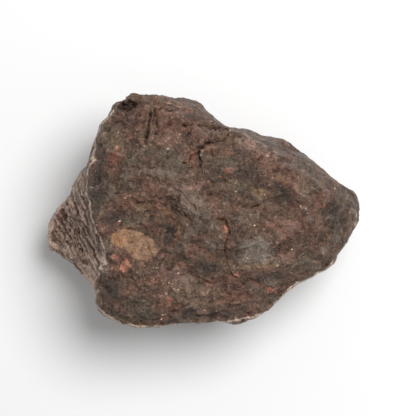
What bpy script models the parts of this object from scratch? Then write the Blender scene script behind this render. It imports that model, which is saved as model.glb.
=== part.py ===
"""A stony meteorite, found weathered: one natural solid lying on its small flat underside.

The stone is shaped like a surveyed piece of ground. A belt of points runs round its widest
line, an upper skin of survey points rises from the belt to the crown, and a lower skin sinks
from it to the foot. Thumbprint hollows, low humps, a gas pit and rough ground are then
pressed into the skin, and the foot is cut flat. All places below are in millimetres.
"""

import math

import bmesh
import bpy
from mathutils import Vector, noise
from mathutils.geometry import delaunay_2d_cdt

for old in list(bpy.data.objects):
    bpy.data.objects.remove(old, do_unlink=True)

# Driving dimensions
MM = 0.001
LENGTH = 67.0
WIDTH = 49.0
HEIGHT = 36.0
SKIN_CELL = 0.7          # grid of the first even skin
FACE_COUNT = 9000        # triangles left on the finished stone
EDGE_ROUNDING = 1        # smoothing passes over the broken edges
SHARP_ANGLE = math.radians(50)

STONE_COLOR = (0.089, 0.071, 0.062, 1.0)
STONE_ROUGHNESS = 0.6

# The widest line, from the left tip round by the back, the right tip and the front.
BELT = [
    (-33.5, -5, 11), (-33.5, -2, 10), (-32, 0, 10.5), (-29.5, 1.5, 12), (-28.5, 4.5, 13),
    (-26, 8.5, 15), (-24.5, 9.5, 20), (-23.5, 13, 25), (-21.5, 17.5, 25.5), (-18, 21, 27),
    (-15, 23.5, 27), (-9.5, 23.5, 26.5), (-8.5, 24.5, 16), (-4, 24, 15), (-1, 23, 15),
    (1, 21, 16), (5.5, 17.5, 21), (8, 17.5, 20), (11.5, 16, 17), (16.5, 15, 15),
    (19.5, 13.5, 15), (24, 10, 18), (28, 6.5, 18), (30, 5.5, 17), (32, 4, 15),
    (33, 1.5, 15), (32.5, -2.5, 16), (30, -6, 18.5), (28, -8.5, 20), (27.5, -10.5, 21.5),
    (25.5, -12.5, 22), (20.5, -14.5, 23.5), (18, -16, 24), (14, -20.5, 23), (10, -22, 23.5),
    (7, -23, 23.5), (5, -22.5, 24), (-3.5, -23, 25), (-14, -24, 24.5), (-16.5, -23, 24.5),
    (-21.5, -20.5, 24), (-22.5, -18.5, 23.5), (-22, -16.5, 19.5), (-25, -15, 14),
    (-27, -13, 13), (-29.5, -10, 12), (-33, -7.5, 11),
]

# Broken edges, each a line of survey points that stays an edge of the upper skin.
LEFT_RIDGE = [
    (-23, 11, 28.5), (-23.5, 8.5, 29), (-23.5, 4.5, 30), (-23, 0, 30.5), (-21, -5.5, 31),
    (-19.5, -8.5, 30.5), (-21, -11.5, 29), (-21.5, -16, 25.5),
]
BACK_RIDGE = [
    (5.5, 16.5, 30), (8, 16, 30.5), (12, 13.5, 30.5), (15.5, 11.5, 29.5), (21.5, 10.5, 24),
]
SLAB_EDGE = [(-8.5, 23, 25), (-6, 22, 26.5), (-3.5, 20.5, 27), (-1, 21, 24)]
RIGHT_RIDGE = [(13.5, 8.5, 32), (19.5, 3.5, 31), (21, -2, 30), (17.5, -10, 29)]

# Survey points between the edges.
LEFT_FLANK = [
    (-26.5, 5.5, 21), (-28, 1, 18.5), (-28.5, -3, 16.5), (-25.5, -2, 22.5), (-31.5, -4, 13),
    (-30, -7, 14.5), (-24.5, -7, 21.5), (-27, -10, 16.5), (-24, -12.5, 19),
]
BACK_SHELVES = [
    (-7.5, 23.5, 19), (-3.5, 22.5, 20), (1, 20, 21.5), (4.5, 17.5, 23.5), (12, 14.5, 24),
    (18.5, 12.5, 20),
]
BACK_LOBE = [
    (-21, 15, 29.5), (-19, 18.5, 29), (-15.5, 21, 28.5), (-10.5, 22, 29.5),
    (-19, 14.5, 30.5), (-14, 18.5, 30.5), (-11.5, 15.5, 31.5), (-8, 19.5, 30),
    (-1.5, 17, 29.5), (2.5, 17.5, 28),
]
CROWN = [
    (-20, 7.5, 32), (-19.5, 0, 32.5), (-17, -6.5, 32.5), (-10.5, 10.5, 33.5), (-5, 12.5, 33),
    (-10.5, 4, 34.5), (-4, 5, 35), (0.5, -0.5, 36), (2, 14, 32), (9.5, 11.5, 32.5),
    (5.5, 7.5, 34.5), (9, 2, 34), (3, -5, 35), (-9, -5, 34), (-7.5, -9.5, 33), (3, -11.5, 32.5),
    (9.5, -7, 33),
]
RIGHT_END = [
    (21.5, 6.5, 29), (28, 2.5, 25), (31, 0, 21.5), (29.5, -4, 22), (26, -1, 27), (25, -8, 25),
    (15, -1, 32), (22, -10.5, 26),
]
FRONT_SLOPE = [
    (14.5, -13, 28.5), (12, -18.5, 26), (9.5, -15, 29.5), (5.5, -20.5, 26), (0, -17, 30),
    (-6, -20.5, 28), (-15, -21, 27.5), (-19.5, -18, 28), (-18.5, -15, 29), (-13, -15.5, 30.5),
]

# The lower skin: broken sides down to an undercut edge, a belly, and the foot below the cut.
UNDERCUT_EDGE = [
    (-30.5, -5.5, 6), (-24, 7.5, 8), (-19, 19, 7), (-3, 20.5, 5), (14, 11.5, 5.5), (28.5, 2.5, 6),
    (24, -9, 5), (8.5, -19, 6), (-15, -20.5, 5.5), (-21, -13, 7), (-30.5, -5.5, 6),
]
BELLY = [
    (-24, -3, 2.5), (-17, 10, 2.5), (-9, 16, 2), (2, 13, 2), (14, 6.5, 2), (23, 0, 2.5),
    (16, -9, 2), (5, -15, 2), (-9, -16, 2), (-17.5, -10, 2.5),
]
FOOT = [
    (-12, -4, -1), (-8, 5, -1), (-1, 8.5, -1), (8, 5, -1), (12, 0, -1), (8, -7, -1),
    (-1, -9, -1), (-9, -8, -1),
]

# Soft relief on the crown: place, reach along and across, turn in degrees, depth (- is a hump).
RELIEF = [
    (-6.5, 17, 7, 3, 100, 1.2),      # valley that runs down from the back edge
    (-13, -2.5, 6.5, 4.5, -10, 1.5), # bowl in the left half
    (-17, 7, 3.5, 2, 10, 0.5),       # trough behind the bowl
    (13.5, 2.5, 6.5, 4, -60, 1.2),   # bowl left of the right ridge
    (24.5, -3, 6, 2.5, 60, 0.8),     # hollow outside the right ridge
    (10, -8, 4.5, 3.5, 15, 0.5),     # smooth dish near the front
    (9, 1.5, 4, 1.2, 3, 0.5),        # groove behind the crest
    (-5, 3, 10, 2.5, -36, -1.0),     # long hump across the crown
    (19.5, 4, 6, 1.6, -65, -0.7),    # hump along the right ridge
    (-18, 12, 4, 3, 60, -0.5),
    (1, 16, 4, 2, 5, -0.6),
    (-15, -13, 5, 3, 20, -0.5),
    (3, 9.5, 2.5, 2, 40, 0.7),       # hollow round the orange crystal
    (-3, -15, 5, 2.5, 10, 0.4),
]

# The gas pit near the back left edge
PIT_PLACE = (-15.0, 21.0)
PIT_REACH = (2.0, 1.0)
PIT_TURN = math.radians(12)
PIT_STEEPNESS = 1.7      # above 1 the pit has a flat floor and steep walls
PIT_DEPTH = 2.4

# Rough ground: size of the lumps, height, seed place; the underside is rougher by this share
UNDERSIDE_ROUGHNESS = 0.8
GROUND = [(13.0, 0.55, (3.1, 7.7, 1.3)), (5.5, 0.38, (11.2, 4.9, 8.6)), (2.6, 0.16, (5.8, 2.2, 9.4))]


def stone_skin(belt, lines, points):
    """Triangles over the belt outline: the belt, lines kept as edges, and loose points."""
    survey = list(belt)
    edges = []
    for line in lines:
        first = len(survey)
        survey += line
        edges += [(i, i + 1) for i in range(first, len(survey) - 1)]
    survey += points
    plan = [Vector(point[:2]) for point in survey]
    outline = [list(range(len(belt)))]
    made = delaunay_2d_cdt(plan, edges, outline, 1, 0.001)
    heights = [survey[sources[0]][2] for sources in made[3]]
    corners = [(spot.x, spot.y, height) for spot, height in zip(made[0], heights)]
    return corners, made[2]


def closed_survey():
    """Upper and lower skins, sewn together along the belt."""
    middle = BACK_SHELVES + LEFT_FLANK + BACK_LOBE + CROWN + RIGHT_END + FRONT_SLOPE
    upper = stone_skin(BELT, [LEFT_RIDGE, BACK_RIDGE, SLAB_EDGE, RIGHT_RIDGE], middle)
    lower = stone_skin(BELT, [UNDERCUT_EDGE], BELLY + FOOT)
    bm = bmesh.new()
    for corners, faces in (upper, lower):
        made = [bm.verts.new(corner) for corner in corners]
        for face in faces:
            bm.faces.new([made[i] for i in face])
    bmesh.ops.remove_doubles(bm, verts=bm.verts, dist=0.001)
    bmesh.ops.recalc_face_normals(bm, faces=bm.faces)
    return bm


def dish(place, centre, reach, turn=0.0):
    """1 in the middle of a soft oval, falling to 0 outside it."""
    dx = place.x - centre[0]
    dy = place.y - centre[1]
    along = (dx * math.cos(turn) + dy * math.sin(turn)) / reach[0]
    across = (dy * math.cos(turn) - dx * math.sin(turn)) / reach[1]
    return math.exp(-(along * along + across * across))


def ground_height(place, down):
    """How far the rough ground stands off the skin, more so where it faces down."""
    rough = sum(height * noise.fractal(place / size + Vector(seed), 1.0, 2.0, 3)
                for size, height, seed in GROUND)
    return rough * (1.0 + UNDERSIDE_ROUGHNESS * min(max(down * 3.0, 0.0), 1.0))


def relief_depth(place, up):
    """How deep the soft relief and the pit press in, on ground that faces up."""
    depth = sum(deep * dish(place, (x, y), (along, across), math.radians(turn))
                for x, y, along, across, turn, deep in RELIEF)
    pit = min(PIT_STEEPNESS * dish(place, PIT_PLACE, PIT_REACH, PIT_TURN), 1.0)
    return depth * min(max(up * 2.0, 0.0), 1.0) + PIT_DEPTH * pit * (up > 0.0)


def apply_modifier(stone, kind, **settings):
    """Add a modifier with its settings and apply it."""
    modifier = stone.modifiers.new(kind.lower(), kind)
    for name, value in settings.items():
        setattr(modifier, name, value)
    bpy.context.view_layer.objects.active = stone
    bpy.ops.object.modifier_apply(modifier=modifier.name)


def weather(stone):
    """Press the relief into the even skin and stand the rough ground on it."""
    bm = bmesh.new()
    bm.from_mesh(stone.data)
    bm.normal_update()
    moves = []
    for vert in bm.verts:
        place = vert.co.copy()
        normal = vert.normal.copy()
        sunk = Vector((0, 0, relief_depth(place, normal.z)))
        moves.append(normal * ground_height(place, -normal.z) - sunk)
    for vert, move in zip(bm.verts, moves):
        vert.co += move
    bm.to_mesh(stone.data)
    bm.free()


def bring_to_size(stone):
    """Fit the length, the width and the height above the foot cut, centred over the origin."""
    bm = bmesh.new()
    bm.from_mesh(stone.data)
    xs = [vert.co.x for vert in bm.verts]
    ys = [vert.co.y for vert in bm.verts]
    top = max(vert.co.z for vert in bm.verts)
    for vert in bm.verts:
        vert.co.x = (vert.co.x - (min(xs) + max(xs)) / 2.0) * LENGTH / (max(xs) - min(xs))
        vert.co.y = (vert.co.y - (min(ys) + max(ys)) / 2.0) * WIDTH / (max(ys) - min(ys))
        vert.co.z *= HEIGHT / top
    whole = list(bm.verts) + list(bm.edges) + list(bm.faces)
    cut = bmesh.ops.bisect_plane(bm, geom=whole, plane_co=(0, 0, 0), plane_no=(0, 0, 1),
                                 clear_inner=True)
    rim = [part for part in cut["geom_cut"] if isinstance(part, bmesh.types.BMEdge)]
    bmesh.ops.holes_fill(bm, edges=rim)
    bmesh.ops.scale(bm, vec=(MM, MM, MM), verts=bm.verts)
    bmesh.ops.recalc_face_normals(bm, faces=bm.faces)
    bm.to_mesh(stone.data)
    bm.free()


def stone_material():
    """Dark grey-brown weathered stone."""
    material = bpy.data.materials.new("stone")
    material.use_nodes = True
    shader = material.node_tree.nodes["Principled BSDF"]
    shader.inputs["Base Color"].default_value = STONE_COLOR
    shader.inputs["Roughness"].default_value = STONE_ROUGHNESS
    shader.inputs["Metallic"].default_value = 0.0
    return material


def build_meteorite():
    """The whole stone, as one closed solid."""
    mesh = bpy.data.meshes.new("meteorite")
    survey = closed_survey()
    survey.to_mesh(mesh)
    survey.free()
    stone = bpy.data.objects.new("meteorite", mesh)
    bpy.context.collection.objects.link(stone)
    apply_modifier(stone, "REMESH", mode="VOXEL", voxel_size=SKIN_CELL)
    apply_modifier(stone, "SMOOTH", factor=0.5, iterations=EDGE_ROUNDING)
    weather(stone)
    apply_modifier(stone, "DECIMATE", ratio=FACE_COUNT / (2.0 * len(stone.data.polygons)))
    bring_to_size(stone)
    stone.data.shade_smooth()
    stone.data.set_sharp_from_angle(angle=SHARP_ANGLE)
    stone.data.materials.append(stone_material())
    return stone


build_meteorite()
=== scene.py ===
import math

import bpy
import numpy as np
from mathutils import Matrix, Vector, noise


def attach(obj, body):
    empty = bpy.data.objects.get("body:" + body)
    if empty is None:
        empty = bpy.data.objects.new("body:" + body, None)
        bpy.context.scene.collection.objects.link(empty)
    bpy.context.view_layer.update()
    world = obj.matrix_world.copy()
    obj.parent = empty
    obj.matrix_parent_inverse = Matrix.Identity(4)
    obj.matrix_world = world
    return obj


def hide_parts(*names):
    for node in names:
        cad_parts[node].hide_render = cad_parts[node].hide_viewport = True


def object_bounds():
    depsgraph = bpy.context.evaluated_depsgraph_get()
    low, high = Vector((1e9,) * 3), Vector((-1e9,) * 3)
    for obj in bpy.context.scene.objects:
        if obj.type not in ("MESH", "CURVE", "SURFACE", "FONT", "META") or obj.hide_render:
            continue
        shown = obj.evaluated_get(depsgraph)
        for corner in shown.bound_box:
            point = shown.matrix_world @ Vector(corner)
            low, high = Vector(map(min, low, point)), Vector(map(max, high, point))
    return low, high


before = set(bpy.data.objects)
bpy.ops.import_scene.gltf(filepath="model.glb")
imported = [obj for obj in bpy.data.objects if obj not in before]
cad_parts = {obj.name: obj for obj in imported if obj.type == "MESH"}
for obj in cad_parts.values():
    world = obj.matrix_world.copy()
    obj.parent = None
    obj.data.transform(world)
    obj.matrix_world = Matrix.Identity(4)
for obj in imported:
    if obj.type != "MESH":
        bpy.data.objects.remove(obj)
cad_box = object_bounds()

# ---------------------------------------------------------------------------------------
# The stone: one lump of weathered chondrite, grown together in one body. It starts from the
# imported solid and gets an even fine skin. Its cracks, ribs, ledges, pit and grain are worked
# into that skin, and one material gives it its crust, its fragments and its rust.

MM = 0.001
SKIN_CELL = 0.56 * MM    # the even skin's faces; finer where it faces up and at cracks
SAME_POINT = 0.001 * MM
SEAM_ANGLE = 1.15        # radians between faces that are opened flat apart
ISLAND_GAP = 0.004

cad_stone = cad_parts["meteorite"]
stone = bpy.data.objects.new("stone", cad_stone.data.copy())
bpy.context.collection.objects.link(stone)
bpy.ops.object.select_all(action="DESELECT")
stone.select_set(True)
bpy.context.view_layer.objects.active = stone

bpy.ops.object.mode_set(mode="EDIT")
bpy.ops.mesh.select_all(action="SELECT")
bpy.ops.mesh.remove_doubles(threshold=SAME_POINT)
bpy.ops.object.mode_set(mode="OBJECT")


def work(piece, kind, **settings):
    """Add a modifier to a piece with its settings and apply it."""
    modifier = piece.modifiers.new(kind.lower(), kind)
    for name, value in settings.items():
        setattr(modifier, name, value)
    bpy.ops.object.modifier_apply(modifier=modifier.name)


work(stone, "REMESH", mode="VOXEL", voxel_size=SKIN_CELL)
work(stone, "SMOOTH", factor=0.5, iterations=2)

# The skin is opened flat while it is still smooth, so the seams stay few.
bpy.ops.object.mode_set(mode="EDIT")
bpy.ops.mesh.select_all(action="SELECT")
stone.data.uv_layers.new(name="OFBake")
bpy.ops.uv.smart_project(angle_limit=SEAM_ANGLE, island_margin=ISLAND_GAP)
bpy.ops.mesh.select_all(action="DESELECT")
bpy.ops.object.mode_set(mode="OBJECT")


def cut_finer(piece, chosen):
    """Cut each chosen face of a piece in four."""
    piece.data.polygons.foreach_set("select", chosen)
    bpy.context.tool_settings.mesh_select_mode = (False, False, True)
    bpy.ops.object.mode_set(mode="EDIT")
    bpy.ops.mesh.subdivide(number_cuts=1)
    bpy.ops.mesh.select_all(action="DESELECT")
    bpy.ops.object.mode_set(mode="OBJECT")


def faces(piece):
    """The middles, in millimetres, and the normals of a piece's faces."""
    mesh = piece.data
    middles = np.empty(len(mesh.polygons) * 3)
    mesh.polygons.foreach_get("center", middles)
    facing = np.empty(len(mesh.polygons) * 3)
    mesh.polygons.foreach_get("normal", facing)
    return middles.reshape(-1, 3) / MM, facing.reshape(-1, 3)


def skin(piece):
    """The places, in millimetres, and the normals of a piece's points."""
    mesh = piece.data
    places = np.empty(len(mesh.vertices) * 3)
    mesh.vertices.foreach_get("co", places)
    normals = np.empty(len(mesh.vertices) * 3)
    mesh.vertex_normals.foreach_get("vector", normals)
    return places.reshape(-1, 3) / MM, normals.reshape(-1, 3)


def put_skin(piece, places):
    """Write the places, in millimetres, back to a piece."""
    piece.data.vertices.foreach_set("co", (places * MM).ravel())
    piece.data.update()


def evened(values, edges, rounds):
    """Values at the points, each averaged with its neighbours some rounds."""
    count = np.bincount(edges.ravel(), minlength=len(values)).astype(float)
    flat = values.reshape(len(values), -1).astype(float)
    for _ in range(rounds):
        total = np.zeros_like(flat)
        for column in range(flat.shape[1]):
            total[:, column] = np.bincount(edges[:, 0], flat[edges[:, 1], column], len(flat))
            total[:, column] += np.bincount(edges[:, 1], flat[edges[:, 0], column], len(flat))
        flat = 0.5 * flat + 0.5 * total / count[:, None]
    return flat.reshape(values.shape)


def lumps(places, size, seed, octaves=3, stretch=(1, 1, 1)):
    """Smooth noise between about -1 and 1, with lumps of a size in millimetres."""
    scaled = places / (np.array(stretch) * size) + np.array(seed)
    return np.array([noise.fractal(Vector(p), 1.0, 2.0, octaves) for p in scaled])


def step(low, high, values):
    """0 below low, 1 above high and a smooth rise between."""
    share = np.clip((values - low) / (high - low), 0.0, 1.0)
    return share * share * (3.0 - 2.0 * share)


def reach(x, y, route):
    """How far points lie from a route, seen from above."""
    nearest = np.full(len(x), 1000.0)
    for (ax, ay), (bx, by) in zip(route[:-1], route[1:]):
        length = (bx - ax) ** 2 + (by - ay) ** 2
        along = np.clip(((x - ax) * (bx - ax) + (y - ay) * (by - ay)) / length, 0.0, 1.0)
        away = np.hypot(x - ax - along * (bx - ax), y - ay - along * (by - ay))
        nearest = np.minimum(nearest, away)
    return nearest


def oval(x, y, middle, radii, turn):
    """1 in the middle of an oval, 0 on its line and less outside it."""
    angle = math.radians(turn)
    dx = x - middle[0]
    dy = y - middle[1]
    along = (dx * math.cos(angle) + dy * math.sin(angle)) / radii[0]
    across = (dy * math.cos(angle) - dx * math.sin(angle)) / radii[1]
    return np.maximum(1.0 - np.hypot(along, across), -1.0)


# Routes and places are in millimetres from the origin, seen from above.
LEFT_RIDGE = [(-23, 11), (-23.5, 8.5), (-23.5, 4.5), (-23, 0), (-21, -5.5), (-19.5, -8.5),
              (-21, -11.5), (-21.5, -16)]

# Cracks: route, half width, depth, share of rust in them.
# A crack with a depth below zero is a healed one that stands proud.
CRACKS = [
    ([(-4, 18), (-2, 18.5), (-0.5, 18), (1, 18)], 0.3, 1.0, 0.1),
    ([(1, 18), (3, 17.5), (4.5, 17), (5.5, 16.5)], 0.36, 1.6, 0.1),
    ([(5.5, 16.5), (5, 15.5), (4, 14.5), (2, 14.5)], 0.18, 0.8, 0.2),
    ([(2.5, 14.5), (0.5, 14), (-0.5, 13)], 0.3, 1.1, 0.2),
    ([(-3.5, 18), (-2.5, 17), (-3, 16)], 0.16, 0.5, 0.1),
    ([(-1, 13), (-1, 12), (-0.5, 10.5), (-0.5, 9.5)], 0.3, 1.0, 0.3),
    ([(-0.5, 13), (-2, 12.5), (-3, 13)], 0.14, 0.5, 0.5),
    ([(-1, 12), (-2.5, 11.5), (-3, 10.5), (-4, 10)], 0.15, 0.5, 0.6),
    ([(-3, 10.5), (-2, 9.5), (-2.5, 9)], 0.15, 0.5, 0.6),
    ([(-0.5, 9.5), (0, 8), (1, 6.5), (3, 5), (4.5, 3)], 0.12, 0.35, 0.3),
    ([(-10, 22.5), (-9.5, 21), (-9.5, 18), (-9.5, 16)], 0.3, 1.0, 0.3),
    ([(-9.5, 21), (-8, 21.5), (-6.5, 20.5)], 0.22, 0.6, 0.2),
    ([(-10.5, 20), (-11, 18), (-11.5, 16), (-12, 14)], 0.26, 0.9, 0.3),
    ([(3, -1.5), (4, -1.5), (5, -3), (5.5, -4), (5, -5), (4.5, -8)], 0.16, 0.6, 0.6),
    ([(4, -2), (4, -4), (4.5, -5.5)], 0.12, 0.4, 1.0),
    ([(4.5, -8), (5, -10), (5, -12), (6, -13), (7, -13.5)], 0.15, 0.5, 1.0),
    ([(7, -13.5), (8.5, -15)], 0.13, 0.25, 0.3),
    ([(-9.5, 1), (-6.5, -0.5), (-5, -2.5), (-5, -5), (-6.5, -7)], 0.15, -0.2, 0.9),
    ([(-4.5, -2), (-4.5, -5), (-6, -7)], 0.14, 0.3, 0.0),
    ([(8, 1), (10.5, 1), (12.5, 1.5)], 0.24, 0.45, 0.0),
    ([(3.5, 7), (6, 7), (8, 8)], 0.15, -0.15, 0.0),
    ([(-19.5, 6), (-16, 6.5), (-13, 5.5)], 0.12, 0.35, 0.0),
    ([(-21, 3.5), (-18, 3.5), (-15, 4.5)], 0.12, 0.3, 0.0),
    ([(-7, 2.5), (-4.5, 0.5), (-2.5, -2)], 0.12, 0.25, 0.2),
    ([(-27, 2), (-26, -1), (-25.5, -2)], 0.13, 0.5, 0.0),
    ([(-25.5, -2), (-24.5, -5)], 0.28, 1.0, 0.0),
    ([(-23.5, -7.5), (-23.5, -9)], 0.22, 0.8, 0.0),
    ([(-27, -5.5), (-25.5, -8.5)], 0.14, 0.6, 0.0),
    ([(-7.5, 22.5), (-6, 22), (-4.5, 21), (-3.5, 20.5)], 0.16, 0.5, 0.4),
    ([(-6.5, -10), (-4, -10.5), (-1.5, -11.5)], 0.12, 0.3, 0.5),
    ([(9, -13.5), (12, -15), (14.5, -16)], 0.12, 0.3, 0.8),
    ([(-18, -13), (-13, -14), (-9, -13.5)], 0.12, 0.25, 0.2),
    ([(15, -2), (17, -5), (17.5, -7.5)], 0.12, 0.3, 0.5),
    ([(13, -9.5), (16, -9), (19, -10)], 0.12, 0.25, 0.4),
    ([(6.5, -9.5), (8, -11.5), (12, -12), (16, -11), (18, -9.5)], 0.4, -0.25, 0.0),
    ([(16.5, 1), (19.5, -0.5), (21.5, -3.5)], 0.4, -0.25, 0.0),
    ([(6, -1.5), (6.5, -4), (7, -6.5)], 0.5, -0.25, 0.0),
    ([(1, 6), (4, 6.5), (8, 7.5)], 0.25, -0.25, 0.0),
    ([(8, 2), (10.5, 2.2), (13, 3)], 0.6, -0.35, 0.0),
    ([(-12, 7.5), (-8, 6), (-4.5, 4), (-1.5, 0.5)], 0.16, 0.35, 0.1),
    ([(-15, 9), (-12, 8.5), (-9, 9.5)], 0.14, 0.35, 0.1),
    ([(-17, -3.5), (-12.5, -3.5), (-9, -4.5)], 0.14, 0.3, 0.3),
    ([(-6, 9), (-4, 7.5), (-3.5, 6)], 0.13, 0.3, 0.1),
    ([(-2, -13.5), (1.5, -14.5), (4, -17)], 0.12, 0.25, 0.3),
]
# Small holes: middle, radius, depth
HOLES = [((9, 3), 0.24, 0.8), ((8.5, -15), 0.4, 0.35), ((16.5, 13.5), 0.3, 0.5),
         ((-20, -3), 0.4, 0.4)]
# The gas pit near the back left edge
PIT_MIDDLE = (-15.4, 21.9)
PIT_RADII = (2.0, 0.9)
PIT_TURN = 8
PIT_DEPTH = 1.8

CROWN_LOW = 12.0         # the crown begins above this height
WANDER = 0.35            # how far a crack strays from its route
NEAR_CRACK = 0.5         # how close to a crack the skin is cut finer once more


def wandered(places):
    """Where points seem to lie for a route that has to wander: along x and along y."""
    along_x = places[:, 0] + WANDER * lumps(places, 1.8, (2.3, 8.1, 4.4), 5)
    along_y = places[:, 1] + WANDER * lumps(places, 1.8, (7.7, 1.9, 6.2), 5)
    return along_x, along_y


middles, facing = faces(stone)
cut_finer(stone, (facing[:, 2] > 0.2) & (middles[:, 2] > CROWN_LOW))
middles, facing = faces(stone)
face_x, face_y = wandered(middles)
near = np.full(len(middles), 10.0)
for route, *_ in CRACKS:
    near = np.minimum(near, reach(face_x, face_y, route))
cut_finer(stone, (near < NEAR_CRACK) & (facing[:, 2] > 0.0) & (middles[:, 2] > CROWN_LOW))

edges = np.empty(len(stone.data.edges) * 2, dtype=np.int64)
stone.data.edges.foreach_get("vertices", edges)
edges = edges.reshape(-1, 2)

# The rim behind the gas pit is drawn out: backwards, a little up and to the left.
PIT_RIM = [(-18, 21.5), (-16.8, 22.8), (-15.6, 23.4), (-14, 23.6)]
PIT_RIM_WIDTH = 1.2
PIT_RIM_DRAW = (-0.35, 0.75, 0.3)
places, _ = skin(stone)
rim = np.exp(-(reach(places[:, 0], places[:, 1], PIT_RIM) / PIT_RIM_WIDTH) ** 2)
rim = rim * step(21.0, 24.5, places[:, 2])
places += rim[:, None] * np.array(PIT_RIM_DRAW)
put_skin(stone, places)

places, normals = skin(stone)
x, y, z = places.T
up = step(0.05, 0.5, normals[:, 2])
on_top = step(-0.2, 0.1, normals[:, 2]) * step(11.0, 14.0, z)

# A crack wanders, comes and goes along its route, and has ragged lips.
wander_x, wander_y = wandered(places)
patchy = lumps(places, 1.3, (5.7, 3.9, 2.2))
ragged = np.clip(1.1 + 0.9 * lumps(places, 0.6, (6.6, 1.4, 8.3), 2), 0.5, 1.9)

# The left flank lies outside the left ridge.
ridge_x = np.interp(-y, [-py for _, py in LEFT_RIDGE], [px for px, _ in LEFT_RIDGE])
outside = ridge_x - x
flank = step(0.2, 1.4, outside) * step(-18.0, -16.0, y) * step(10.0, 8.0, y)

# Broken edges are drawn out crisper than the even skin left them, first broadly, then finely:
# rounds of evening out, share of what stands out of it.
KEENER = [(200, 0.5), (50, 1.3)]
for rounds, amount in KEENER:
    smooth = evened(places, edges, rounds)
    keen = np.einsum("ij,ij->i", places - smooth, normals)
    places[:, 2] += amount * keen * step(0.15, 0.6, normals[:, 2])

# The dent of the gas pit is made level with its rim, and dug again below with a clear edge.
DENT_MIDDLE = (-15.2, 22.2)
DENT_RADII = (4.2, 3.0)
DENT_LEVEL = 28.1
behind = y - DENT_MIDDLE[1]
level = DENT_LEVEL + 0.3 * (x + 16.0)
level = level - 0.45 * np.minimum(behind, 0.0) - 0.4 * np.maximum(behind, 0.0)
around = step(0.0, 0.35, oval(x, y, DENT_MIDDLE, DENT_RADII, PIT_TURN))
around = around * step(25.0, 25.5, z) * step(-0.2, 0.0, normals[:, 2])
places[:, 2] += around * (level - places[:, 2])

# Pale lines along ridges on the crown, worn pale and with a painted highlight, and pale lines along
# the rims round it, a painted highlight: route, half width, strength, lowest height
RIDGE_WEAR_AND_HIGHLIGHT = [
    ([(-22.5, 11), (-23.5, 8.5), (-24, 4), (-23.5, 1), (-21.5, -5), (-20, -8)], 0.26, 1.0, 25.5),
    ([(-20, -8), (-21, -11.5), (-22, -14)], 0.26, 1.0, 22.0),
    ([(-20.5, -8.5), (-20.5, -10.5)], 0.8, 1.0, 25.0),
    ([(5.5, 17), (10, 15), (15.5, 11.5)], 0.2, 0.6, 26.0),
    ([(-8, 23), (-5.5, 22), (-3.5, 20.5)], 0.16, 0.4, 23.5),
]
RIM_HIGHLIGHTS = [
    ([(-23, 11), (-22, 16), (-21, 18), (-18.5, 20.5)], 0.35, 1.0, 24.0),
    ([(-22, -16.5), (-22.5, -19), (-21.5, -20.5), (-16.5, -23.5), (-14, -24)], 0.34, 1.0, 22.0),
    ([(-14, -24), (-8, -24), (-3, -23.5), (5, -23)], 0.34, 1.0, 22.0),
    ([(5, -23), (10, -22), (14, -20.5), (18, -16), (25.5, -12.5), (28, -10)], 0.34, 0.9, 20.5),
    ([(28, -10), (30.5, -6), (32, -3), (32.5, 1)], 0.3, 0.6, 17.5),
]
facing_up = step(-0.15, 0.1, normals[:, 2])
edge_wear_and_highlight = np.zeros(len(x))
for pale_lines, where in ((RIDGE_WEAR_AND_HIGHLIGHT, 1.0), (RIM_HIGHLIGHTS, facing_up)):
    for route, half_width, strength, lowest in pale_lines:
        away = reach(0.5 * (x + wander_x), 0.5 * (y + wander_y), route)
        share = strength * np.exp(-(away / half_width) ** 2) * step(lowest, lowest + 1.5, z)
        edge_wear_and_highlight = np.maximum(edge_wear_and_highlight, share * where)

# Cracks and holes sink into the skin, and rust spreads along the cracks. Sunk cracks, the holes and
# the pit are darkened with painted shade, more in deeper cracks.
crack_shade = np.zeros(len(x))
crack_rust = np.zeros(len(x))
sink = np.zeros(len(x))
for route, half_width, depth, rusty in CRACKS:
    away = reach(wander_x, wander_y, route) / ragged
    shape = np.exp(-(away / half_width) ** 2) * on_top
    shape = shape * np.clip(0.8 + 1.2 * patchy, 3.0 * half_width - 0.3, 1.2)
    sink += depth * shape
    # A sunk crack gets painted shade, darker the deeper it is and lighter where rust fills it.
    if depth > 0:
        crack_shade = np.maximum(crack_shade, shape * min(depth / 0.5, 1.0) * (1.0 - 0.4 * rusty))
    crack_rust = np.maximum(crack_rust, rusty * np.exp(-(away / (2.5 * half_width)) ** 2) * up)
for middle, radius, depth in HOLES:
    shape = np.exp(-(np.hypot(wander_x - middle[0], wander_y - middle[1]) / radius) ** 2) * up
    sink += depth * shape
    crack_shade = np.maximum(crack_shade, shape)
pit = step(0.0, 0.35, oval(wander_x, wander_y, PIT_MIDDLE, PIT_RADII, PIT_TURN)) * up
# The pit is darkened inside with painted shade.
crack_shade = np.maximum(crack_shade, pit * 0.6)

# Ribs fan out over the flank from a point in front of it.
FAN = (-14, -25)
FAN_REACH = 20.0
fan_angle = np.arctan2(y - FAN[1], FAN[0] - x)
from_fan = np.hypot(x - FAN[0], y - FAN[1])
rib_place = np.stack([FAN_REACH * fan_angle, from_fan, z * 0.3], axis=1)
rib_place += 0.15 * lumps(places, 3.0, (2.8, 4.9, 7.1))[:, None]
ribs = 1.0 - 2.0 * np.abs(lumps(rib_place, 1.0, (4.2, 3.3, 1.1), 2, (0.60, 9.0, 6.0)))
fine_ribs = 1.0 - 2.0 * np.abs(lumps(rib_place, 1.0, (9.2, 5.3, 2.1), 2, (0.30, 6.0, 5.0)))

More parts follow.
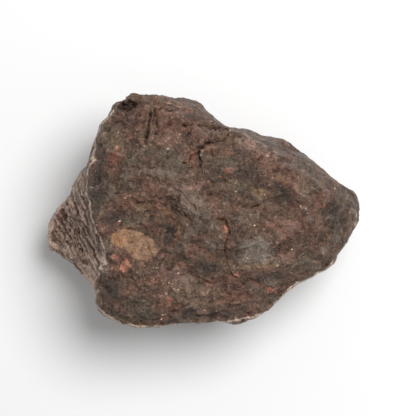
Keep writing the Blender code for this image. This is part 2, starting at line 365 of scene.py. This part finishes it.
# Ridged breaks, lumps, flaked ledges and grit, with their heights in millimetres
BREAK_SIZE = 4.2
BREAK_HEIGHT = 0.32
LUMP_HEIGHT = 0.26
LEDGE_HEIGHT = 0.28
SMALL_LEDGE_HEIGHT = 0.20
GRIT_HEIGHT = 0.20
RIB_HEIGHT = 0.20
FINE_RIB_HEIGHT = 0.14
broken = np.array([noise.ridged_multi_fractal(Vector(p / BREAK_SIZE), 1.0, 2.1, 4, 1.0, 2.0)
                   for p in places])
ledges = step(-0.03, 0.03, lumps(places, 6.5, (6.3, 2.9, 5.1), 4, (1.5, 1.0, 1.0)))
small_ledges = step(-0.03, 0.03, lumps(places, 3.0, (1.7, 9.3, 3.6), 4, (1.4, 1.0, 1.0)))
stand = BREAK_HEIGHT * (broken - broken.mean())
stand += LUMP_HEIGHT * lumps(places, 2.4, (1.4, 5.2, 8.8))
stand += LEDGE_HEIGHT * (ledges - 0.5) + SMALL_LEDGE_HEIGHT * (small_ledges - 0.5)
stand += GRIT_HEIGHT * lumps(places, 0.8, (3.5, 6.1, 2.7))
stand *= 0.45 + 0.55 * up
stand *= 1.0 - 0.6 * edge_wear_and_highlight
stand += flank * (RIB_HEIGHT * ribs + FINE_RIB_HEIGHT * fine_ribs)
places = places + normals * (stand - sink)[:, None]
places[:, 2] -= PIT_DEPTH * pit
places = np.clip(places, np.array(cad_box[0]) / MM, np.array(cad_box[1]) / MM)
put_skin(stone, places)

# Where the skin bulges it is worn pale, and where it dips it is darkened with dirt and painted
# shade.
BULGE = 0.12
BROAD_BULGE = 0.5
places, normals = skin(stone)
bulge = np.einsum("ij,ij->i", places - evened(places, edges, 14), normals)
bulge = evened(bulge, edges, 1)
broad_bulge = np.einsum("ij,ij->i", places - evened(places, edges, 80), normals)


def note(piece, name, values):
    """Keep a value for each point on the piece, for the material to read."""
    layer = piece.data.attributes.new(name, "FLOAT", "POINT")
    layer.data.foreach_set("value", values.astype(np.float32))


note(stone, "bulge", bulge / BULGE)
note(stone, "broad_bulge", broad_bulge / BROAD_BULGE)
note(stone, "crack_shade", crack_shade)
note(stone, "crack_rust", crack_rust)
note(stone, "flank", flank)
front_flank = step(20.0, 10.0, from_fan)
note(stone, "rib", 0.6 * ribs + 0.6 * fine_ribs + front_flank - 0.1)
note(stone, "ledge", ledges + 0.8 * small_ledges - 0.9)
note(stone, "edge_wear_and_highlight", edge_wear_and_highlight)
note(stone, "front_flank", flank * front_flank)

# Patches of other colour on the crown: middle, radii, turn in degrees. Some dark patches are painted
# shade on slopes turned away from the lamp, and some pale ones a painted sheen on ridges.
PATCHES = {
    "dark_and_shade": [((-21.5, 5.5), (3, 5.5), 0), ((-18, -1.5), (3, 2.5), 15), ((9, 7.5), (4.5, 2.2), -8),
             ((16, 4), (4, 1.6), -50), ((-21, 10), (1.5, 3), 0), ((27.5, -1), (3.5, 5), 0),
             ((-18.5, -16.5), (3, 3.5), 0), ((13.5, -13.5), (6, 1.5), 8), ((1, -11), (3, 2), -20),
             ((-6.5, -4.5), (2.2, 4), 20), ((-3, 19.5), (2.4, 0.8), -10), ((0, -21), (8, 1.5), 0)],
    "pale_and_sheen": [((-2, 1.5), (8, 3.2), -45), ((-10, 8), (5.5, 1.6), -6), ((9.5, 13.5), (4.5, 2), -20),
             ((17.5, 9.5), (4, 1.3), -28), ((11, -8), (5, 3.6), -5), ((21.5, -1), (0.8, 2.8), 25),
             ((-5, -14), (7, 1.4), 4), ((2.5, -6.5), (2, 1.8), 0), ((7, -2), (1.4, 1.5), 0),
             ((25, -8), (1, 2), 0), ((-20, -12), (1.2, 2.5), -10), ((16, -10), (4, 1.3), -8)],
    "pink": [((-6, 20), (2.8, 2), 0), ((-6.5, 15), (2.8, 2.2), 20), ((9.5, 13.5), (3.4, 1.4), -20),
             ((-3.5, 12), (2.4, 2), 0), ((16.5, -3.5), (5, 3), 0), ((17.5, -9.5), (3.2, 1.4), -5),
             ((-18, -9.5), (1.6, 0.9), -20), ((0, -20.5), (3, 1), 0), ((-2, 5), (2.5, 1.5), 0),
             ((-14.5, 19.5), (1.6, 0.6), -6), ((-8, -13.5), (6, 3), 10)],
    "rust": [((-14, 2), (6, 2.2), 0), ((2, -9.5), (2.3, 1.4), -20), ((5, 8), (1.4, 0.9), 0),
             ((-18, 10.5), (2.2, 2.2), 0), ((-9, -14), (4, 2), 0), ((-2, 10.5), (1.8, 2.4), 20),
             ((13.5, -16), (3.6, 1), -20), ((5, 12), (2, 1), 0), ((14, -3), (3.5, 1.6), 0),
             ((-9, 21), (1.4, 1.8), 0), ((-7, -19.5), (4, 2), 0), ((6, -18), (4, 2), 0),
             ((-4.5, 22.5), (2.6, 1.2), -30)],
    "red": [((-18, 11), (0.9, 1.3), 0), ((-15.8, -9.8), (0.8, 0.5), 0), ((25, 1), (0.6, 0.5), 0),
            ((8.5, -17), (0.9, 0.6), 0), ((14, -16.5), (1.6, 0.5), -20), ((0, -8), (0.6, 0.6), 0),
            ((25.5, -4.5), (0.4, 1), 15), ((-17.5, -2.5), (0.5, 0.5), 0),
            ((-13.5, -0.5), (0.5, 0.4), 0), ((5, 8.3), (0.9, 0.5), 0), ((-2, 11.5), (0.7, 1.2), 10),
            ((-7, -2), (0.5, 0.4), 0)],
    "olive": [((11, -8), (4.6, 3.4), -5)],
    "moss": [((-18.5, 15.5), (3.5, 4.5), 20), ((7, 5), (4, 2), 0), ((-21, 3), (2, 6), 0),
             ((27, 0), (3, 4), 0), ((-14, -19), (5, 2.5), -10), ((20, -11), (4, 2), 30)],
    "warm": [((-9, -14.5), (7, 4), -8), ((-7, -14.5), (4, 2.5), 0), ((0, -18), (8, 4), 0),
             ((-20, -17), (3, 4), 0), ((12, 12), (5, 2.5), -25)],
    "rich": [((-17.5, -5.5), (2, 2), 0)],
    "orange": [((-18, -9.2), (1.3, 0.6), -15), ((-7, -18), (0.9, 0.6), 0),
               ((4.5, -3.5), (0.5, 1.2), 20), ((3.5, 7), (0.6, 0.4), 0),
               ((-17.5, 13), (0.5, 0.6), 0), ((6.5, -13), (0.6, 0.4), 0), ((7, -13), (0.5, 0.5), 0)],
    "ochre": [((15.5, 7), (2, 1.2), -20), ((11, 4), (2.5, 1.5), 0), ((12, -11), (5, 0.8), 4),
              ((-16, -3.5), (3, 0.8), 5), ((-12, 1), (3, 1.5), 0), ((-18, 14), (1.5, 2), 0)],
}
crown = step(-0.1, 0.25, normals[:, 2]) * step(CROWN_LOW, CROWN_LOW + 4.0, z)
for name, patches in PATCHES.items():
    field = np.full(len(x), -1.0)
    for middle, radii, turn in patches:
        field = np.maximum(field, oval(x, y, middle, radii, turn))
    note(stone, name, field * crown - (1.0 - crown))

# The large tan fragment and the brick-red one in front of it, by their outlines
FRAGMENTS = {
    "tan": [(-19, -5), (-18, -4), (-16, -3.5), (-13, -4), (-11, -5), (-8.5, -7.5), (-9.5, -9),
            (-11.5, -10), (-13, -10), (-14.5, -9.5), (-15.5, -8), (-17.5, -7), (-19, -6.5),
            (-19, -5)],
    "brick": [(-16.5, -10), (-15.5, -9.5), (-14.5, -11), (-15.5, -12.5), (-17, -12.5),
              (-17, -11.5), (-16.5, -10)],
}
for name, outline in FRAGMENTS.items():
    within = np.zeros(len(x), dtype=bool)
    for (ax, ay), (bx, by) in zip(outline[:-1], outline[1:]):
        if ay == by:
            continue
        crossed = (ay > y) != (by > y)
        within ^= crossed & (x < ax + (y - ay) * (bx - ax) / (by - ay))
    edge = reach(wander_x, wander_y, outline)
    note(stone, name, np.where(within, edge, -edge) * crown - (1.0 - crown))

# Pale flecks where bare metal shows in the crust, painted bright as glints: places on the crown
FLECK_RADIUS = 0.17
GLINT_FLECKS = [
    (-12, 13.5), (-5, 16), (-7, 13), (-0.5, 11.5), (-3, 21.5), (-17, -2), (-9.5, -11.5),
    (-10, -11.5), (1, -6), (-7.5, -17), (-8, -21), (12.5, 3.5), (17, -1.5), (9.5, -2.5),
    (10.5, -3), (12.5, -3.5), (21, 0.5), (21.5, -0.5), (18, -7.5), (25, -8.5), (5, -11.5),
    (6.5, -13), (-17.5, 13),
    (-5, -12.5), (-8, -14.5), (-7, -14.5), (-10, -13.5), (-5, -16), (-8.5, -21.5), (-8.5, -22.5),
]
glint_fleck = np.zeros(len(x))
for fleck_x, fleck_y in GLINT_FLECKS:
    away = np.hypot(wander_x - fleck_x, wander_y - fleck_y) + 10.0 * (crown < 0.5)
    glint_fleck = np.maximum(glint_fleck, np.exp(-(away / FLECK_RADIUS) ** 2))
note(stone, "glint_fleck", glint_fleck)


class Wire:
    """A socket that takes part in sums: maths on it adds Math nodes to its material."""

    def __init__(self, looks, socket):
        self.looks = looks
        self.socket = socket

    def _maths(self, operation, first, second=0.0):
        made = self.looks.node("Math", {"operation": operation}, {0: first, 1: second})
        return Wire(self.looks, made.outputs[0])

    def __add__(self, other):
        return self._maths("ADD", self, other)

    def __radd__(self, other):
        return self._maths("ADD", other, self)

    def __sub__(self, other):
        return self._maths("SUBTRACT", self, other)

    def __rsub__(self, other):
        return self._maths("SUBTRACT", other, self)

    def __mul__(self, other):
        return self._maths("MULTIPLY", self, other)

    def __rmul__(self, other):
        return self._maths("MULTIPLY", other, self)

    def __abs__(self):
        return self._maths("ABSOLUTE", self)

    def larger(self, other):
        return self._maths("MAXIMUM", self, other)

    def smaller(self, other):
        return self._maths("MINIMUM", self, other)

    def rise(self, low, high):
        """0 below low, 1 above high, smooth between."""
        made = self.looks.node("MapRange", {"interpolation_type": "SMOOTHSTEP"},
                               {"Value": self, "From Min": low, "From Max": high})
        return Wire(self.looks, made.outputs["Result"])


class Looks:
    """One material, with short ways to add nodes to it."""

    def __init__(self, name):
        self.material = bpy.data.materials.new(name)
        self.material.use_nodes = True
        self.tree = self.material.node_tree
        self.shader = self.tree.nodes["Principled BSDF"]

    def node(self, kind, settings, sockets):
        """Any node: its settings are set first, then the values or links of its sockets."""
        made = self.tree.nodes.new("ShaderNode" + kind)
        for name, value in settings.items():
            setattr(made, name, value)
        self.plug(made, sockets)
        return made

    def plug(self, made, sockets):
        """Link or set some sockets of a node."""
        for name, value in sockets.items():
            if isinstance(value, Wire):
                self.tree.links.new(value.socket, made.inputs[name])
            else:
                made.inputs[name].default_value = value

    def noted(self, name):
        """A value that was kept for each point of the piece."""
        made = self.node("Attribute", {"attribute_name": name}, {})
        return Wire(self, made.outputs["Fac"])

    def speckle(self, place, size, detail, roughness, warp=0.0):
        """Noise about 0, with patches of a size in millimetres."""
        made = self.node("TexNoise", {}, {
            "Vector": place, "Scale": 1.0 / size, "Detail": detail, "Roughness": roughness,
            "Distortion": warp})
        return Wire(self, made.outputs["Fac"]) - 0.5

    def blend(self, share, under, over):
        """One colour laid over another by a share."""
        made = self.node("Mix", {"data_type": "RGBA"}, {0: share, 6: under, 7: over})
        return Wire(self, made.outputs[2])


crust = Looks("weathered_crust")
on_piece = crust.node("TexCoord", {}, {})
in_mm = crust.node("VectorMath", {"operation": "SCALE"},
                   {0: Wire(crust, on_piece.outputs["Object"]), "Scale": 1.0 / MM})
place = Wire(crust, in_mm.outputs[0])

# Noise in five sizes, from broad haze to fine pepper
haze = crust.speckle(place, 9.0, 3.0, 0.5)
mottle = crust.speckle(place, 3.2, 6.0, 0.6, 0.4)
blotch = crust.speckle(place, 1.1, 5.0, 0.6, 0.3)
grain = crust.speckle(place, 0.5, 3.0, 0.6)
pepper = crust.speckle(place, 0.25, 3.0, 0.7)

bulging = crust.noted("bulge")
broad = crust.noted("broad_bulge")
on_flank = crust.noted("flank")

# Warm brown base with darker and greyer blotches
DARK = (0.064, 0.039, 0.027, 1.0)
BROWN = (0.121, 0.071, 0.046, 1.0)
GREY = (0.145, 0.103, 0.075, 1.0)
colour = crust.blend((mottle * 1.5 + blotch + 0.55).rise(0.0, 1.0), DARK, BROWN)
colour = crust.blend((haze * 1.5 + blotch + broad * 0.3).rise(0.0, 0.7) * 0.4, colour, GREY)

# Broad drifts towards olive and towards red
OLIVE_DRIFT = (0.101, 0.084, 0.062, 1.0)
RED_DRIFT = (0.167, 0.076, 0.054, 1.0)
drift = crust.speckle(place, 6.5, 4.0, 0.55, 0.5)
colour = crust.blend((drift + blotch * 0.3).rise(0.0, 0.16) * 0.6, colour, OLIVE_DRIFT)
colour = crust.blend((0.0 - drift + blotch * 0.3).rise(0.0, 0.16) * 0.6, colour, RED_DRIFT)

# Patches, each with a broken edge: colour, strength, softness of the edge, how frayed it is
fray = blotch * 0.7 + grain * 0.4 + mottle * 0.5
PATCH_COLOURS = [
    ("moss", (0.085, 0.062, 0.040, 1.0), 0.85, 0.8, 0.8),
    ("warm", (0.185, 0.111, 0.075, 1.0), 0.7, 0.9, 0.8),
    # dark patches: dark crust, and painted shade on slopes turned away from the lamp
    ("dark_and_shade", (0.045, 0.031, 0.024, 1.0), 0.85, 0.7, 1.0),
    # pale patches: pale crust, and a painted sheen on ridges
    ("pale_and_sheen", (0.155, 0.111, 0.085, 1.0), 0.75, 0.7, 0.8),
    ("pink", (0.203, 0.115, 0.088, 1.0), 0.7, 0.8, 1.0),
    ("rust", (0.155, 0.072, 0.045, 1.0), 0.7, 0.8, 1.0),
    ("olive", (0.193, 0.164, 0.131, 1.0), 0.7, 0.6, 0.6),
    ("ochre", (0.218, 0.135, 0.071, 1.0), 0.5, 0.8, 1.4),
    ("red", (0.244, 0.072, 0.046, 1.0), 0.6, 0.6, 1.5),
    ("orange", (0.346, 0.135, 0.081, 1.0), 0.85, 0.6, 0.8),
]
for name, tint, strength, softness, frayed in PATCH_COLOURS:
    share = (crust.noted(name) + fray * frayed).rise(0.0, softness) * strength
    colour = crust.blend(share, colour, tint)

# The two fragments. The tan one is richer at its back left.
TAN = (0.315, 0.185, 0.110, 1.0)
RICH_TAN = (0.375, 0.195, 0.098, 1.0)
BRICK = (0.525, 0.232, 0.150, 1.0)
tan_share = (crust.noted("tan") + fray * 0.8).rise(-0.1, 0.35)
tan_rich = (crust.noted("rich") + fray * 0.8).rise(-0.3, 0.8)
colour = crust.blend(tan_share * 0.9, colour, crust.blend(tan_rich, TAN, RICH_TAN))
brick_share = (crust.noted("brick") + fray * 0.3).rise(-0.1, 0.3)
colour = crust.blend(brick_share * 0.9, colour, BRICK)

# Rusty freckles all over
FRECKLE = (0.206, 0.084, 0.051, 1.0)
freckle = crust.speckle(place, 1.5, 5.0, 0.7, 0.8)
colour = crust.blend((freckle + blotch * 0.5).rise(0.08, 0.24) * 0.35, colour, FRECKLE)

# The broken flank is paler and pinker. Its rib crests are paler with a painted highlight, and the
# gaps between them are darkened with painted shade.
FLANK_CREST_AND_HIGHLIGHT = (0.510, 0.360, 0.280, 1.0)
FLANK_BROWN = (0.155, 0.083, 0.055, 1.0)
FLANK_GAP_SHADE = (0.052, 0.032, 0.022, 1.0)
rib = crust.noted("rib")
colour = crust.blend(on_flank * 0.7, colour, FLANK_BROWN)
crest_and_highlight = on_flank * (rib * 0.9 + bulging * 0.3 + blotch * 1.4 + grain * 0.9).rise(0.1, 1.1)
colour = crust.blend(crest_and_highlight * 0.95, colour, FLANK_CREST_AND_HIGHLIGHT)
gap_shade = on_flank * (0.0 - rib + blotch * 0.8 - 0.3).rise(0.0, 0.8)
colour = crust.blend(gap_shade * 0.5, colour, FLANK_GAP_SHADE)

# Bulges are worn pale. Hollows are darkened with dirt and painted shade, cracks, holes and the pit
# with painted shade, and rust runs along the cracks.
WORN = (0.291, 0.200, 0.147, 1.0)
EDGE_WEAR_AND_HIGHLIGHT = (0.483, 0.368, 0.287, 1.0)
DIRT_AND_SHADE = (0.023, 0.011, 0.007, 1.0)
RUST_LINE = (0.193, 0.084, 0.043, 1.0)
colour = crust.blend((bulging + pepper * 0.8).rise(0.4, 1.8) * 0.25, colour, WORN)
colour = crust.blend((0.0 - bulging + pepper * 0.8).rise(0.4, 1.8) * 0.5, colour, DIRT_AND_SHADE)
colour = crust.blend(crust.noted("crack_rust") * (blotch + 0.7), colour, RUST_LINE)
# Cracks, holes and the pit are darkened here: painted shade.
colour = crust.blend(crust.noted("crack_shade").rise(0.25, 0.8) * 0.9, colour, DIRT_AND_SHADE)
# Ridges get pale wear with a painted highlight, and the rims a painted highlight.
edge_share = (crust.noted("edge_wear_and_highlight") + blotch * 1.6 + grain * 1.2).rise(0.25, 1.0) * 0.9
colour = crust.blend(edge_share, colour, EDGE_WEAR_AND_HIGHLIGHT)

# Hairlines: the lines where a wandering noise passes through its middle, with a pale lip
wander = crust.speckle(place, 2.6, 6.0, 0.62, 1.2)
fine_wander = crust.speckle(place, 1.2, 5.0, 0.6, 1.0)
hairline = abs(wander).rise(0.014, 0.0) * (mottle + 0.5).rise(0.35, 0.6)
fine_hairline = abs(fine_wander).rise(0.020, 0.0) * (haze + blotch * 0.5).rise(-0.05, 0.1) * 0.7
hairline = hairline.larger(fine_hairline)
colour = crust.blend(hairline * 0.65, colour, DIRT_AND_SHADE)
lip = abs(wander - 0.032).rise(0.018, 0.0) * (mottle + 0.5).rise(0.38, 0.58)
colour = crust.blend(lip * 0.35, colour, WORN)

# Fine grain, lighter and darker without a change of hue, weaker on the fragments
smooth_ground = tan_share.larger(brick_share).larger(on_flank * 0.5)
smooth_ground = smooth_ground.larger(crust.noted("olive").rise(0.0, 0.5) * 0.7)
graininess = haze * 0.6 + mottle * 1.3 + blotch * 1.7 + grain * 1.5 + pepper * 2.6
graininess = (graininess + crust.noted("ledge") * 0.12) * (1.0 - smooth_ground * 0.5) + 1.05
graininess = graininess.larger(0.3) + crust.noted("front_flank") * 0.35
grained = crust.node("VectorMath", {"operation": "SCALE"}, {0: colour, "Scale": graininess})
colour = Wire(crust, grained.outputs[0])

# Bright mineral grains and the metal flecks, painted bright as glints, and red dots
GLINT_GRAIN = (0.771, 0.563, 0.426, 1.0)
RED_DOT = (0.308, 0.096, 0.057, 1.0)
GLINT_FLECK_COLOUR = (0.90, 0.72, 0.58, 1.0)
sparkle = crust.speckle(place, 0.42, 2.0, 0.5)
sparkling = (sparkle + mottle * 0.3).rise(0.205, 0.245)
colour = crust.blend(sparkling * 0.75, colour, GLINT_GRAIN)
red_dot = crust.speckle(place, 0.7, 2.0, 0.5)
colour = crust.blend((red_dot - mottle * 0.2).rise(0.20, 0.25) * 0.6, colour, RED_DOT)
colour = crust.blend(crust.noted("glint_fleck").rise(0.15, 0.8) * 0.75, colour, GLINT_FLECK_COLOUR)

# A dull sheen that varies with the blotches, and relief too fine for the skin
rough = (0.42 + blotch * 0.4 + pepper * 0.3).larger(0.25).smaller(0.8)
relief = blotch * 0.38 + grain * 0.34 + pepper * 0.22 - hairline * 0.06
relief = relief + wander.rise(-0.02, 0.02) * 0.10 + fine_wander.rise(-0.02, 0.02) * 0.05
bump = crust.node("Bump", {}, {"Strength": 1.0, "Distance": MM, "Height": relief})

crust.plug(crust.shader, {
    "Base Color": colour, "Roughness": rough, "Metallic": 0.0,
    "Normal": Wire(crust, bump.outputs["Normal"]), "IOR": 1.4,
})
stone.data.materials.clear()
stone.data.materials.append(crust.material)
stone.data.shade_smooth()

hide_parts("meteorite")
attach(stone, "root")

# ---------------------------------------------------------------------------------------
# The table: a plain white surface of matt paint. The stone rests on it with the flat facet of
# its underside, with nothing to hold it.

TABLE_SPAN = 6.0
TABLE_WHITE = (0.71, 0.71, 0.71, 1.0)

bpy.ops.object.select_all(action="DESELECT")
bpy.ops.mesh.primitive_plane_add(size=TABLE_SPAN, location=(0, 0, 0))
table = bpy.context.object
table.name = "table"
paint = Looks("white_table")
paint.plug(paint.shader, {"Base Color": TABLE_WHITE, "Roughness": 0.6})
table.data.materials.append(paint.material)

# ---------------------------------------------------------------------------------------
# Light and camera: one large soft lamp from the back right over a pale studio, and a camera
# that looks straight down on the stone.

KEY_PLACE = Vector((0.185, 0.165, 0.51))
KEY_SIZE = 0.34
KEY_POWER = 3.6
CAMERA_HEIGHT = 0.379
FRAME_WIDTH = 0.0888     # what the camera sees across, at the level of the belt
BELT_HEIGHT = 0.015      # where the stone's outline is widest
AIM = (0.0010, 0.0007)
SENSOR = 36.0
STUDIO_LOW = (0.95, 0.95, 0.95, 1.0)
STUDIO_HIGH = (0.42, 0.42, 0.42, 1.0)
STUDIO_TURN = 0.6        # the height in the studio from which it is evenly dim

lamp = bpy.data.lights.new("key", "AREA")
lamp.shape = "DISK"
lamp.size = KEY_SIZE
lamp.energy = KEY_POWER
key = bpy.data.objects.new("key", lamp)
key.location = KEY_PLACE
key.rotation_euler = (-KEY_PLACE).to_track_quat("-Z", "Y").to_euler()
bpy.context.collection.objects.link(key)

world = bpy.data.worlds.new("studio")
bpy.context.scene.world = world
world.use_nodes = True
air = world.node_tree
backdrop = air.nodes["Background"]
sky = air.nodes.new("ShaderNodeTexCoord")
split = air.nodes.new("ShaderNodeSeparateXYZ")
fall = air.nodes.new("ShaderNodeValToRGB")
air.links.new(sky.outputs["Generated"], split.inputs[0])
air.links.new(split.outputs["Z"], fall.inputs[0])
air.links.new(fall.outputs["Color"], backdrop.inputs["Color"])
fall.color_ramp.elements[0].color = STUDIO_LOW
fall.color_ramp.elements[1].color = STUDIO_HIGH
fall.color_ramp.elements[1].position = STUDIO_TURN

lens = bpy.data.cameras.new("camera")
lens.sensor_width = SENSOR
lens.lens = SENSOR * (CAMERA_HEIGHT - BELT_HEIGHT) / FRAME_WIDTH
camera = bpy.data.objects.new("camera", lens)
camera.location = (AIM[0], AIM[1], CAMERA_HEIGHT)
bpy.context.collection.objects.link(camera)
bpy.context.scene.camera = camera
bpy.context.scene.view_settings.view_transform = "Standard"
